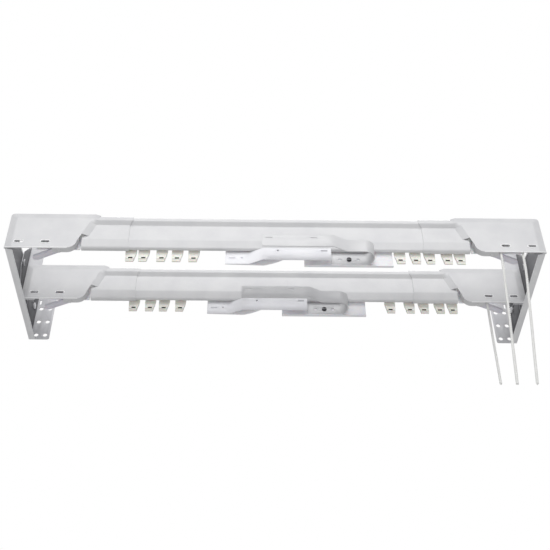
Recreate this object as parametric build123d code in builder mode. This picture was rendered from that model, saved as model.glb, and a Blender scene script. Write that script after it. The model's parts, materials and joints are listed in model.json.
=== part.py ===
from build123d import *
from collections import namedtuple
import math
import os

# Corded curtain track: two traverse rods, front and rear, on common end arms.
# X runs along the rods, Y towards the wall and Z up, in millimetres.
# The wall is the plane Y = 0. The origin is midway between the two wall brackets,
# level with their middle screws. The rods are pushed together to their shortest.

# Overall sizes
WIDTH = 711.0
FRONT_PROJECTION = 195.0
REAR_PROJECTION = 92.0
PLATE_HEIGHT = 64.0
PLATE_LENGTH = 98.5

# Sheet thicknesses and clearances
END_SHEET = 1.2
RAIL_SHEET = 0.8
NEST_GAP = 0.2
SLIDE_GAP = 0.1
SEAT_GAP = 0.3

# Wall brackets
BRACKET_SHEET = 1.6
BRACKET_WIDTH = 27.1
BRACKET_TOP = 92.0
BRACKET_CORNER = 3.0
RELIEF_LENGTH = 9.0
RELIEF_WIDTH = 3.0
RELIEF_EDGE = 5.0
RELIEF_DROP = 21.0
HOLE_DIAMETER = 6.5
HOLE_COLUMNS = 12.9
HOLE_ROWS = 24.7
FIRST_ROW = 9.0
HOLE_EDGE = 7.8

# Arms and their projection adjustment
ARM_SHEET = 1.2
ARM_FLANGE = 9.0
ARM_TAB = 16.0
ARM_TAB_LOW = 18.0
STUD_DIAMETER = 5.0
STUD_HEAD = 9.0
STUD_FROM_WALL = 19.5
STUD_DROP = 15.0
PROJECTION_TRAVEL = 25.0

# Mid brackets
MID_TAB_WIDTH = 21.0
MID_RISE = 36.0
MID_WEB_FRONT = 25.0
MID_WEB_LOW = 40.0
MID_WEB_RISE = 2.0
MID_RIVET_BACK = 16.5
MID_RIVET_DROP = 11.0

# Rail section, measured from the front of the end plates and from their bottom edge
RAIL_DROP = 6.0
RAIL_FOOT = 9.0
RAIL_BACK = 19.0
CROWN_HEIGHT = 6.0
REAR_LIP = 8.0
FACE_SET = 4.6
CREASE_HEIGHT = 21.0
FOOT_SET = 3.0
FLOOR_DEPTH = 5.4
LIP_HEIGHT = 6.0
LIP_BEND = 2.2
CROWN_BEND = 2.2
STEP_BEND = 2.4
FACE_BEND = 3.0
CREASE_BEND = 6.0
RAIL_END_SET = 32.0
RAIL_OVERRUN = 7.0
RIVET_SET = 27.0
RIVET_DROP = 5.0
RIVET_HEAD = 6.0
RIVET_SHANK = 3.2

# End sections
NOTCH_HEIGHT = 26.0
NOTCH_LEAN = 14.4
BAND_WIDTH = 9.0
SLEEVE_LENGTH = 61.5
CROWN_REACH = 4.0
CORNER_RADIUS = 13.0
CORNER_FLANGE = 9.0
CORNER_SET = 5.0
BORDER = 9.0
PRESS_RADIUS = 10.0
BORDER_DROP = 2.0
OUTER_CORNER = 5.0
HOOK_SLOT_LENGTH = 11.0
HOOK_SLOT_WIDTH = 4.0
HOOK_SLOT_SPACING = 35.0
HOOK_SLOT_INSET = 17.6
HOOK_SLOT_HEIGHT = 11.0
HOOK_RIM_WIDTH = 1.4
HOOK_RIM_RAISE = 0.3

# Locking levers
LEVER_WIDTH = 9.0
LEVER_THICK = 3.0
LEVER_REACH_X = 33.0
LEVER_REACH_Y = 16.0
LEVER_STUD = 3.0
LEVER_RIM = 1.3
LEVER_RECESS = 0.7
LEVER_SET = 27.0

# Pulleys, housings and draw cord
CORD_DIAMETER = 3.2
CORD_DEPTH = 9.8
LOWER_RUN = 33.0
UPPER_RUN = 47.0
PULLEY_FLANGE = 9.0
PULLEY_WIDTH = 6.4
PULLEY_BORE_GAP = 0.06
GROOVE_GAP = 0.5
PULLEY_EDGE = 0.5
AXLE_DIAMETER = 4.0
FIRST_STRAND_SET = 39.0
SECOND_STRAND_SET = 30.5
IDLER_SET = 43.0
HOUSING_WALL = 2.0
HOUSING_LOW = 10.0
HOUSING_DROP = 4.0
HOUSING_SET = 2.0
IDLER_HOUSING_MARGIN = 5.0
HOUSING_MARGIN = 0.8
CORD_EXIT_DEPTH = 3.6

# Ring carriers and master carriers
CARRIER_WIDTH = 15.0
CARRIER_NECK = 11.0
CARRIER_TAPER = 3.5
HOOK_LEG = 1.5
HOOK_BRIDGE = 2.4
PENDANT_THICK = 2.5
PENDANT_LOW = -6.0
EYE_WIDTH = 6.5
EYE_HEIGHT = 1.8
EYE_RISE = 4.2
TAPER_START = 10.0
MASTER_SHEET = 1.6
MASTER_LOW = -11.0
LEFT_MASTER_LENGTH = 81.0
LEFT_MASTER_FLAT = 50.0
LEFT_CLIP_SET = 24.0
RIGHT_CLIP_SET = 50.0
MASTER_HOOK_SET = 2.0
RIGHT_MASTER_LENGTH = 117.0
MASTER_SPLIT = 23.0
MASTER_RAIL = 2.2
ARM_STRIP_HEIGHT = 20.5
ARM_STRIP_TOP = 8.5
ARM_STRIP_SHEET = 1.2
OVERLAP_FRONT = -19.0
OVERLAP_JOG = 9.0
OVERLAP_START = -33.0
OVERLAP_STRAIGHT = 93.0
OVERLAP_SLANT = 17.0
OVERLAP_TIP = 24.0
OVERLAP_LEG = 43.0
TURN_STEP = 15
SCREW_FROM_TURN = 19.0
SIDE_HOLE_SPACING = 12.0
SIDE_HOLE_DIAMETER = 4.4
SCREW_DROP = 1.5
UNDERLAP_DEPTH = 6.5
UNDERLAP_FLAT = 31.0
UNDERLAP_SLANT = 19.0
UNDERLAP_STRAIGHT = 89.0
ARM_SLOT_LENGTH = 9.0
ARM_SLOT_WIDTH = 1.8
ARM_HOLE_DIAMETER = 3.0
SCREW_DIAMETER = 4.0

# Values that follow from the sizes above
NOTCH_X = WIDTH / 2 - PLATE_LENGTH
RAIL_TOP = PLATE_HEIGHT - RAIL_DROP
HOUSING_TOP = RAIL_TOP - HOUSING_DROP
STUD_HEIGHT = PLATE_HEIGHT - STUD_DROP
MID_TOP = PLATE_HEIGHT + MID_RISE
MID_WEB_TOP = PLATE_HEIGHT + MID_WEB_RISE
MID_RIVET_HEIGHT = PLATE_HEIGHT - MID_RIVET_DROP
LEVER_X = NOTCH_X + LEVER_SET
FIRST_STRAND_X = NOTCH_X + FIRST_STRAND_SET
SECOND_STRAND_X = WIDTH / 2 - SECOND_STRAND_SET
IDLER_X = NOTCH_X + IDLER_SET
BASE = -(FIRST_ROW + HOLE_ROWS)
SLEEVE_STEP = END_SHEET + NEST_GAP
INNER_STEP = RAIL_SHEET + NEST_GAP
CROWN_SET = SLEEVE_STEP
FACE = CROWN_SET + FACE_SET
FOOT = FACE + FOOT_SET
TRACK_LIP = FOOT + FLOOR_DEPTH
LIP_TOP = RAIL_FOOT + LIP_HEIGHT
CROWN_LOW = RAIL_TOP - CROWN_HEIGHT
RIVET_X = NOTCH_X - RIVET_SET
RAIL_END = NOTCH_X - 1.0
PULLEY_RADIUS = (UPPER_RUN - LOWER_RUN) / 2
LOWER_PULLEY_X = FIRST_STRAND_X - PULLEY_RADIUS
UPPER_PULLEY_X = SECOND_STRAND_X - PULLEY_RADIUS
LOWER_AXLE = LOWER_RUN - PULLEY_RADIUS
UPPER_AXLE = UPPER_RUN - PULLEY_RADIUS
IDLER_AXLE = LOWER_RUN + PULLEY_RADIUS
RIVET_SHEET = 1.2
ARM_OUT = WIDTH / 2 - RIVET_SHEET
ARM_IN = ARM_OUT - ARM_SHEET
WEB_OUT = ARM_IN - SLIDE_GAP
WEB_SHEET = 1.2
WEB_IN = WEB_OUT - WEB_SHEET
TAB_DEPTH = END_SHEET + BORDER_DROP + NEST_GAP
HOOK_FRONT = TRACK_LIP - INNER_STEP - RAIL_SHEET - 0.4 - HOOK_LEG
HOOK_LOW = LIP_TOP - 3.0
BRIDGE_LOW = LIP_TOP + SEAT_GAP
BRIDGE_TOP = BRIDGE_LOW + HOOK_BRIDGE
PENDANT_FRONT = TRACK_LIP + SLEEVE_STEP + 0.4

Track = namedtuple("Track", "name projection base half_width masters_x left_shares right_shares")

# The rear rod sits on the bottom flanges of the arms, between their webs. The ring carriers are
# placed by the share of the track's free run that lies between each of them and the track's end.
front = Track(
    "front", FRONT_PROJECTION, BASE, WIDTH / 2, 14.0,
    (0.503, 0.521, 0.597, 0.644, 0.703), (0.207, 0.282, 0.579, 0.714, 0.911),
)
rear = Track(
    "rear", REAR_PROJECTION, BASE + ARM_SHEET + SEAT_GAP, WEB_IN - 0.4, -13.0,
    (0.515, 0.589, 0.630, 0.705), (0.006, 0.060, 0.193, 0.282, 0.505),
)


def carrier_places(track):
    """Centres of the left and right ring carriers, each counted from its end of the track."""
    left_run = NOTCH_X + track.masters_x - LEFT_MASTER_LENGTH
    right_run = NOTCH_X - track.masters_x - MASTER_SPLIT - RIGHT_MASTER_LENGTH
    places = []
    for side, run, shares in ((-1, left_run, track.left_shares), (1, right_run, track.right_shares)):
        free = run - CARRIER_WIDTH * len(shares)
        middles = [share * free + CARRIER_WIDTH * (i + 0.5) for i, share in enumerate(shares)]
        places.append([side * (NOTCH_X - middle) for middle in middles])
    return places


def across(track, x):
    """Plane across the rod at x: first axis towards the wall, second up."""
    return Plane(origin=(x, -track.projection, track.base), x_dir=(0, 1, 0), z_dir=(1, 0, 0))


def facing(track, depth):
    """Plane of the rod's face at a depth behind the end plates: first axis along X, second up."""
    return Plane(origin=(0, depth - track.projection, track.base), x_dir=(1, 0, 0), z_dir=(0, -1, 0))


def plan(track, height):
    """Level plane at a height above the end plates' bottom: first axis along X, second to the wall."""
    return Plane(origin=(0, -track.projection, track.base + height), x_dir=(1, 0, 0), z_dir=(0, 0, 1))


def parallel(points, distance):
    """The polyline moved to the right of its direction by a distance, with mitred corners."""
    moved = []
    last = len(points) - 1
    for i, (px, py) in enumerate(points):
        normals = []
        for a, b in ((i - 1, i), (i, i + 1)):
            if a >= 0 and b <= last:
                dx = points[b][0] - points[a][0]
                dy = points[b][1] - points[a][1]
                size = math.hypot(dx, dy)
                normals.append((dy / size, -dx / size))
        nx = sum(n[0] for n in normals) / len(normals)
        ny = sum(n[1] for n in normals) / len(normals)
        share = distance / (nx * nx + ny * ny)
        moved.append((px + nx * share, py + ny * share))
    return moved


def rail_line():
    """Outer skin of the outer rail, from the rear lip over the top and down to the track lip."""
    return [
        (RAIL_BACK, RAIL_TOP - REAR_LIP),
        (RAIL_BACK, RAIL_TOP),
        (CROWN_SET, RAIL_TOP),
        (CROWN_SET, CROWN_LOW),
        (FACE, CROWN_LOW - FACE_SET),
        (FACE, CREASE_HEIGHT),
        (FOOT, RAIL_FOOT),
        (TRACK_LIP, RAIL_FOOT),
        (TRACK_LIP, LIP_TOP),
    ]


def rail_sheet(track, x, outwards, sheet, length):
    """Rolled sheet with the rail's section, its outer skin a distance outside the outer rail's."""
    convex = [LIP_BEND, CROWN_BEND, STEP_BEND, -FACE_BEND, CREASE_BEND, LIP_BEND, LIP_BEND]
    radii = [abs(bend + outwards) for bend in convex]
    with BuildPart() as body:
        with BuildSketch(across(track, x)):
            with BuildLine():
                FilletPolyline(*parallel(rail_line(), outwards), radius=radii)
                offset(amount=sheet, side=Side.LEFT)
            make_face()
        extrude(amount=length)
    return body.part


def plate_block(track, depth):
    """Block under the end plate's skin, its top and outer borders sloped back; larger where it cuts."""
    grow = 2 * depth
    reach = track.half_width
    with BuildPart() as block:
        with BuildSketch(facing(track, depth)):
            with BuildLine():
                Polyline(
                    (NOTCH_X - NOTCH_LEAN - grow, PLATE_HEIGHT + grow),
                    (NOTCH_X - grow, NOTCH_HEIGHT),
                    (NOTCH_X - grow, -grow),
                    (reach + grow, -grow),
                    (reach + grow, PLATE_HEIGHT + grow),
                    close=True,
                )
            make_face()
        extrude(amount=-(BORDER_DROP + END_SHEET))
        with BuildSketch(across(track, NOTCH_X - 2 * NOTCH_LEAN)):
            with BuildLine():
                Polyline(
                    (depth - 1, PLATE_HEIGHT - BORDER),
                    (depth, PLATE_HEIGHT - BORDER),
                    (depth + BORDER_DROP * 2, PLATE_HEIGHT + BORDER),
                    (depth - 1, PLATE_HEIGHT + BORDER),
                    close=True,
                )
            make_face()
        extrude(amount=reach, mode=Mode.SUBTRACT)
        with BuildSketch(plan(track, -BORDER)):
            with BuildLine():
                Polyline(
                    (reach - BORDER, depth - 1),
                    (reach - BORDER, depth),
                    (reach + BORDER, depth + BORDER_DROP * 2),
                    (reach + BORDER, depth - 1),
                    close=True,
                )
            make_face()
        extrude(amount=PLATE_HEIGHT + 2 * BORDER, mode=Mode.SUBTRACT)
        # Soft press lines between the flat and its two sloped borders, and where the borders meet
        corner = (reach - BORDER, depth - track.projection, track.base + PLATE_HEIGHT - BORDER)
        fillet(block.edges().sort_by_distance(corner)[:3], PRESS_RADIUS - depth)
    return block.part


def end_section(track):
    """Right-hand end section: sleeve over the rail, transition band and stamped end plate."""
    start = NOTCH_X - SLEEVE_LENGTH
    lean = NOTCH_LEAN / (PLATE_HEIGHT - NOTCH_HEIGHT)
    corner_x = NOTCH_X + CORNER_SET
    slope = math.hypot(1, lean)
    reach = track.half_width
    band_normal = (1 / slope, 0, lean / slope)
    along_band = (0, 1, 0)
    with BuildPart() as section:
        # Sleeve: the rail's shape one sheet larger, its crown reaching a little further inwards
        length = NOTCH_X - start + CROWN_REACH
        add(rail_sheet(track, start - CROWN_REACH, SLEEVE_STEP, END_SHEET, length))
        with BuildSketch(facing(track, -1)):
            with BuildLine():
                Polyline(
                    (start - CROWN_REACH - 1, CROWN_LOW),
                    (start - CROWN_REACH, CROWN_LOW),
                    (start, CROWN_LOW - FACE_SET),
                    (start, CREASE_HEIGHT),
                    (start - CROWN_REACH / 2, 0),
                    (start - CROWN_REACH - 1, 0),
                    close=True,
                )
            make_face()
        extrude(amount=-RAIL_BACK - 5, mode=Mode.SUBTRACT)
        # Above the notch the sleeve ends along the leaning line where the band begins
        with BuildSketch(facing(track, -1)):
            with BuildLine():
                Polyline(
                    (NOTCH_X - BAND_WIDTH, NOTCH_HEIGHT),
                    (NOTCH_X + 1, NOTCH_HEIGHT),
                    (NOTCH_X + 1, PLATE_HEIGHT),
                    (NOTCH_X - BAND_WIDTH - NOTCH_LEAN, PLATE_HEIGHT),
                    close=True,
                )
            make_face()
        extrude(amount=-RAIL_BACK - 5, mode=Mode.SUBTRACT)
        # Plate with its top and outer borders sloped back
        add(plate_block(track, 0))
        add(plate_block(track, END_SHEET), mode=Mode.SUBTRACT)
        # Trim the plate to its rounded outline
        with BuildSketch(facing(track, -1)) as outline:
            with BuildLine():
                Polyline(
                    (start - CROWN_REACH - 1, -1),
                    (start - CROWN_REACH - 1, PLATE_HEIGHT),
                    (reach, PLATE_HEIGHT),
                    (reach, 0),
                    (corner_x + 2, 0),
                    (corner_x, NOTCH_HEIGHT / 2),
                    (NOTCH_X, NOTCH_HEIGHT),
                    (NOTCH_X, -1),
                    close=True,
                )
            make_face()
            fillet(outline.vertices().sort_by_distance((reach, PLATE_HEIGHT, 0))[:1], OUTER_CORNER)
            fillet(outline.vertices().sort_by_distance((corner_x + 2, 0, 0))[:1], CORNER_RADIUS)
        extrude(amount=-RAIL_BACK - 5, mode=Mode.INTERSECT)
        # Band from the rail's stepped face up to the plate
        rod_side = [
            (FACE - SLEEVE_STEP, NOTCH_HEIGHT),
            (FACE - SLEEVE_STEP, CROWN_LOW - FACE_SET - 0.6),
            (0, CROWN_LOW - 0.6),
            (0, RAIL_TOP + SLEEVE_STEP),
        ]
        plate_side = [
            (0, NOTCH_HEIGHT),
            (0.06, CROWN_LOW - FACE_SET - 0.6),
            (0, PLATE_HEIGHT - BORDER),
            (BORDER_DROP, PLATE_HEIGHT),
        ]
        for x, line in ((NOTCH_X - BAND_WIDTH, rod_side), (NOTCH_X, plate_side)):
            place = Plane(
                origin=(x, -track.projection, track.base + NOTCH_HEIGHT),
                x_dir=along_band,
                z_dir=band_normal,
            )
            flat = [(d, (h - NOTCH_HEIGHT) * slope) for d, h in line]
            back = [(d + END_SHEET, u) for d, u in flat]
            with BuildSketch(place):
                with BuildLine():
                    Polyline(flat + back[::-1], close=True)
                make_face()
        loft(ruled=True)
        # Flange turned back round the lower inner corner, with the lever's hole
        with BuildSketch(facing(track, 0)) as ring:
            with BuildLine():
                Polyline(
                    (reach, NOTCH_HEIGHT),
                    (reach, 0),
                    (corner_x + 2, 0),
                    (corner_x, NOTCH_HEIGHT / 2),
                    (NOTCH_X, NOTCH_HEIGHT),
                    close=True,
                )
            make_face()
            fillet(ring.vertices().sort_by_distance((corner_x + 2, 0, 0))[:1], CORNER_RADIUS)
            offset(amount=-END_SHEET, mode=Mode.SUBTRACT)
            with BuildLine():
                Polyline(
                    (NOTCH_X, -1),
                    (LEVER_X + LEVER_WIDTH, -1),
                    (LEVER_X + LEVER_WIDTH, NOTCH_HEIGHT * 0.7),
                    (NOTCH_X, NOTCH_HEIGHT * 0.7),
                    close=True,
                )
            make_face(mode=Mode.INTERSECT)
        extrude(amount=-CORNER_FLANGE)
        with BuildSketch(plan(track, -1)):
            with Locations((LEVER_X, lever_depth())):
                Circle(LEVER_STUD / 2 + SLIDE_GAP)
        extrude(amount=END_SHEET + 2, mode=Mode.SUBTRACT)
        # Hook slots for the ends of the curtain
        with BuildSketch(facing(track, -1)):
            with Locations(*[(x, HOOK_SLOT_HEIGHT) for x in hook_slots(track)]):
                SlotOverall(HOOK_SLOT_LENGTH, HOOK_SLOT_WIDTH)
        extrude(amount=-CORNER_FLANGE, mode=Mode.SUBTRACT)
        # Coined rims round the hook slots
        with BuildSketch(facing(track, 0)):
            with Locations(*[(x, HOOK_SLOT_HEIGHT) for x in hook_slots(track)]):
                SlotOverall(HOOK_SLOT_LENGTH + 2 * HOOK_RIM_WIDTH, HOOK_SLOT_WIDTH + 2 * HOOK_RIM_WIDTH)
                SlotOverall(HOOK_SLOT_LENGTH, HOOK_SLOT_WIDTH, mode=Mode.SUBTRACT)
        extrude(amount=HOOK_RIM_RAISE)
        # Hole for the rivet that holds the rail
        with BuildSketch(facing(track, RAIL_BACK)):
            with Locations((RIVET_X, RAIL_TOP - RIVET_DROP)):
                Circle(RIVET_SHANK / 2 + SLIDE_GAP)
        extrude(amount=-END_SHEET * 2, mode=Mode.SUBTRACT)
    return section.part


def lever_depth():
    return END_SHEET + LEVER_WIDTH / 2 + NEST_GAP


def hook_slots(track):
    outer = track.half_width - HOOK_SLOT_INSET
    return (outer - HOOK_SLOT_SPACING, outer)


def rail(track, step, start, end, riveted):
    """Rolled rail from start to end, with the rivet through the end section that holds it."""
    with BuildPart() as body:
        add(rail_sheet(track, start, step, RAIL_SHEET, end - start))
        # The crown is cut back at both ends, where the end sections rise to their plates
        relief = NOTCH_X - BAND_WIDTH - NOTCH_LEAN
        for x, amount in ((relief, PLATE_LENGTH), (-relief, -PLATE_LENGTH)):
            with BuildSketch(across(track, x)):
                with BuildLine():
                    Polyline(
                        (-1, CROWN_LOW - 1.5),
                        (FACE - 2, CROWN_LOW - 1.5),
                        (FACE - 2, RAIL_TOP + 1),
                        (-1, RAIL_TOP + 1),
                        close=True,
                    )
                make_face()
            extrude(amount=amount, mode=Mode.SUBTRACT)
        # Rivet through the rear lips: head outside the sleeve, shank, and a collar down to the rail
        skin = RAIL_BACK + step
        sleeve = RAIL_BACK + SLEEVE_STEP
        for depth, length, diameter in (
            (sleeve, RIVET_SHEET, RIVET_HEAD),
            (skin - RAIL_SHEET, sleeve - skin + RAIL_SHEET, RIVET_SHANK),
            (skin - RAIL_SHEET, sleeve - END_SHEET - NEST_GAP / 2 - skin + RAIL_SHEET, RIVET_HEAD),
        ):
            with BuildSketch(facing(track, depth)):
                with Locations((riveted, RAIL_TOP - RIVET_DROP)):
                    Circle(diameter / 2)
            extrude(amount=-length)
    return body.part


def arm():
    """Right-hand end arm: web, bottom flange, front tab and the projection stud."""
    front_end = -FRONT_PROJECTION + TAB_DEPTH
    back_end = -BRACKET_SHEET - SEAT_GAP
    with BuildPart() as body:
        with BuildSketch(across(front, ARM_IN)):
            with BuildLine():
                Polyline(
                    (TAB_DEPTH, 0),
                    (TAB_DEPTH, PLATE_HEIGHT - 2),
                    (FRONT_PROJECTION + back_end, PLATE_HEIGHT - 2),
                    (FRONT_PROJECTION + back_end, 0),
                    close=True,
                )
            make_face()
        extrude(amount=ARM_SHEET)
        with BuildSketch(plan(front, 0)):
            with BuildLine():
                Polyline(
                    (ARM_OUT, TAB_DEPTH),
                    (ARM_OUT - ARM_FLANGE, TAB_DEPTH + 3),
                    (ARM_OUT - ARM_FLANGE, FRONT_PROJECTION + back_end),
                    (ARM_OUT, FRONT_PROJECTION + back_end),
                    close=True,
                )
            make_face()
        extrude(amount=ARM_SHEET)
        with BuildSketch(facing(front, TAB_DEPTH)):
            with BuildLine():
                Polyline(
                    (ARM_IN, ARM_TAB_LOW),
                    (ARM_IN - ARM_TAB, ARM_TAB_LOW + 4),
                    (ARM_IN - ARM_TAB, PLATE_HEIGHT - 12),
                    (ARM_IN, PLATE_HEIGHT - 8),
                    close=True,
                )
            make_face()
        extrude(amount=-ARM_SHEET)
        # Hole that the mid bracket's rivet passes through
        with BuildSketch(Plane.YZ.offset(ARM_IN - 1)):
            with Locations((-REAR_PROJECTION - MID_RIVET_BACK, BASE + MID_RIVET_HEIGHT)):
                Circle(STUD_DIAMETER / 2 + SLIDE_GAP)
        extrude(amount=ARM_SHEET + 2, mode=Mode.SUBTRACT)
        # Projection stud: flat head outside, shank through the web, round head inside
        stud_y = -STUD_FROM_WALL
        stud_z = BASE + STUD_HEIGHT
        for x, length, diameter in (
            (ARM_OUT, RIVET_SHEET, STUD_HEAD),
            (WEB_IN - 2.0, ARM_OUT - WEB_IN + 2.0, STUD_DIAMETER),
            (WEB_IN - SLIDE_GAP - 2.0, 2.0, STUD_HEAD),
        ):
            with BuildSketch(Plane.YZ.offset(x)):
                with Locations((stud_y, stud_z)):
                    Circle(diameter / 2)
            extrude(amount=length)
    return body.part


def wall_bracket():
    """Right-hand wall bracket: wall plate with six screw holes, web with the adjusting slot."""
    low = BASE + ARM_SHEET + SEAT_GAP
    top = BASE + BRACKET_TOP
    web_front = -STUD_FROM_WALL - PROJECTION_TRAVEL - 9.0
    inner_edge = WEB_OUT - BRACKET_WIDTH
    with BuildPart() as body:
        with BuildSketch(Plane.XZ) as plate:
            with BuildLine():
                Polyline((inner_edge, low), (WEB_OUT, low), (WEB_OUT, top), (inner_edge, top), close=True)
            make_face()
            fillet(plate.vertices().group_by(Axis.X)[0], BRACKET_CORNER)
        extrude(amount=BRACKET_SHEET)
        with BuildSketch(Plane.YZ.offset(WEB_IN)):
            with BuildLine():
                Polyline(
                    (0, low),
                    (web_front, low),
                    (web_front, BASE + PLATE_HEIGHT - 2),
                    (-BRACKET_SHEET - 12, top),
                    (0, top),
                    close=True,
                )
            make_face()
        extrude(amount=WEB_SHEET)
        # Screw holes, two columns of three
        with BuildSketch(Plane.XZ):
            for column in (0, 1):
                for row in (-1, 0, 1):
                    with Locations((WEB_OUT - HOLE_EDGE - column * HOLE_COLUMNS, row * HOLE_ROWS)):
                        Circle(HOLE_DIAMETER / 2)
        extrude(amount=BRACKET_SHEET, mode=Mode.SUBTRACT)
        # Short slot beside the bend
        with BuildSketch(Plane.XZ):
            with Locations((WEB_OUT - RELIEF_EDGE, top - RELIEF_DROP)):
                SlotOverall(RELIEF_LENGTH, RELIEF_WIDTH, rotation=90)
        extrude(amount=BRACKET_SHEET, mode=Mode.SUBTRACT)
        # Adjusting slot that the arm's stud slides in
        slot_middle = -STUD_FROM_WALL - PROJECTION_TRAVEL / 2
        slot_width = STUD_DIAMETER + 2 * SLIDE_GAP
        with BuildSketch(Plane.YZ.offset(WEB_IN)):
            with Locations((slot_middle, BASE + STUD_HEIGHT)):
                SlotOverall(PROJECTION_TRAVEL + slot_width, slot_width)
        extrude(amount=WEB_SHEET, mode=Mode.SUBTRACT)
    return body.part


def mid_bracket():
    """Right-hand mid bracket: tab behind the rear end plate, web and rivet on the arm."""
    low = ARM_SHEET + SEAT_GAP
    tab_y = REAR_PROJECTION - TAB_DEPTH
    with BuildPart() as body:
        with BuildSketch(Plane.XZ.offset(tab_y)) as tab:
            with BuildLine():
                Polyline(
                    (WEB_OUT - MID_TAB_WIDTH, BASE + low),
                    (WEB_OUT, BASE + low),
                    (WEB_OUT, BASE + MID_TOP),
                    (WEB_OUT - MID_TAB_WIDTH, BASE + MID_TOP),
                    close=True,
                )
            make_face()
            fillet(tab.vertices().group_by(Axis.X)[0], BRACKET_CORNER)
        extrude(amount=-ARM_SHEET)
        with BuildSketch(Plane.YZ.offset(WEB_IN)):
            with BuildLine():
                Polyline(
                    (-tab_y + ARM_SHEET, BASE + low),
                    (-tab_y - 3, BASE + low),
                    (-REAR_PROJECTION - MID_WEB_FRONT, BASE + MID_WEB_LOW),
                    (-REAR_PROJECTION - MID_WEB_FRONT, BASE + MID_WEB_TOP),
                    (-tab_y - 3, BASE + MID_TOP),
                    (-tab_y + ARM_SHEET, BASE + MID_TOP),
                    close=True,
                )
            make_face()
        extrude(amount=WEB_SHEET)
        rivet_y = -REAR_PROJECTION - MID_RIVET_BACK
        rivet_z = BASE + MID_RIVET_HEIGHT
        for x, length, diameter in (
            (ARM_OUT, RIVET_SHEET, STUD_HEAD),
            (WEB_IN, ARM_OUT - WEB_IN, STUD_DIAMETER),
            (WEB_IN - 2.0, 2.0, STUD_HEAD),
        ):
            with BuildSketch(Plane.YZ.offset(x)):
                with Locations((rivet_y, rivet_z)):
                    Circle(diameter / 2)
            extrude(amount=length)
    return body.part


def lever(track):
    """Right-hand locking lever with its stud through the corner flange."""
    depth = lever_depth()
    reach = math.hypot(LEVER_REACH_X, LEVER_REACH_Y)
    turn = math.degrees(math.atan2(LEVER_REACH_Y, LEVER_REACH_X))
    low = END_SHEET + NEST_GAP
    middle = (LEVER_X + LEVER_REACH_X / 2, depth + LEVER_REACH_Y / 2)
    with BuildPart() as body:
        with BuildSketch(plan(track, low)):
            with Locations(middle):
                SlotCenterToCenter(reach, LEVER_WIDTH, rotation=turn)
        extrude(amount=LEVER_THICK)
        fillet(body.faces().filter_by(Axis.Z).sort_by(Axis.Z)[-1:].edges(), 0.6)
        # Recess in the underside, inside a raised rim
        with BuildSketch(plan(track, low)):
            with Locations((middle[0] + LEVER_REACH_X * 0.14, middle[1] + LEVER_REACH_Y * 0.14)):
                SlotCenterToCenter(reach * 0.72, LEVER_WIDTH - 2 * LEVER_RIM, rotation=turn)
        extrude(amount=LEVER_RECESS, mode=Mode.SUBTRACT)
        for height, length, diameter in (
            (-SLIDE_GAP - 1.0, 1.0, LEVER_STUD + 3),
            (-SLIDE_GAP - 0.5, low + 1.0, LEVER_STUD),
        ):
            with BuildSketch(plan(track, height)):
                with Locations((LEVER_X, depth)):
                    Circle(diameter / 2)
            extrude(amount=length)
    return body.part


def pulley_housing(track, posts, left, right):
    """Moulded tray behind an end plate: rear wall, roof, outer wall and the pulleys' axle posts."""
    wall = CORD_DEPTH + PULLEY_WIDTH / 2 + 0.4
    with BuildPart() as body:
        with BuildSketch(facing(track, wall)):
            with BuildLine():
                Polyline(
                    (left, HOUSING_LOW),
                    (right, HOUSING_LOW),
                    (right, HOUSING_TOP),
                    (left, HOUSING_TOP),
                    close=True,
                )
            make_face()
        extrude(amount=-HOUSING_WALL)
        with BuildSketch(facing(track, END_SHEET)):
            with BuildLine():
                Polyline(
                    (left, HOUSING_TOP),
                    (right, HOUSING_TOP),
                    (right, HOUSING_LOW),
                    (right - HOUSING_WALL, HOUSING_LOW),
                    (right - HOUSING_WALL, HOUSING_TOP - HOUSING_WALL),
                    (left, HOUSING_TOP - HOUSING_WALL),
                    close=True,
                )
            make_face()
        extrude(amount=END_SHEET - wall)
        with BuildSketch(facing(track, wall)):
            with Locations(*posts):
                Circle(AXLE_DIAMETER / 2)
        extrude(amount=PULLEY_WIDTH + 0.8)
        with BuildSketch(facing(track, wall)):
            with Locations(*posts):
                Circle(AXLE_DIAMETER / 2 + 1.2)
        extrude(amount=0.3)
    return body.part


def pulley(track, x, height):
    """Grooved nylon wheel on an axle post, its axis towards the wall."""
    bore = AXLE_DIAMETER / 2 + PULLEY_BORE_GAP
    half = PULLEY_WIDTH / 2
    groove = PULLEY_RADIUS - CORD_DIAMETER / 2 - GROOVE_GAP
    centre = Plane(
        origin=(x, CORD_DEPTH - track.projection, track.base + height),
        x_dir=(1, 0, 0),
        z_dir=(0, 0, 1),
    )
    with BuildPart() as body:
        with BuildSketch(centre):
            with BuildLine():
                Polyline(
                    (bore, -half),
                    (PULLEY_FLANGE, -half),
                    (PULLEY_FLANGE, -half + PULLEY_EDGE),
                    (groove, -half / 2),
                    (groove, half / 2),
                    (PULLEY_FLANGE, half - PULLEY_EDGE),
                    (PULLEY_FLANGE, half),
                    (bore, half),
                    close=True,
                )
            make_face()
        revolve(axis=Axis(centre.origin, (0, 1, 0)))
    return body.part


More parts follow.
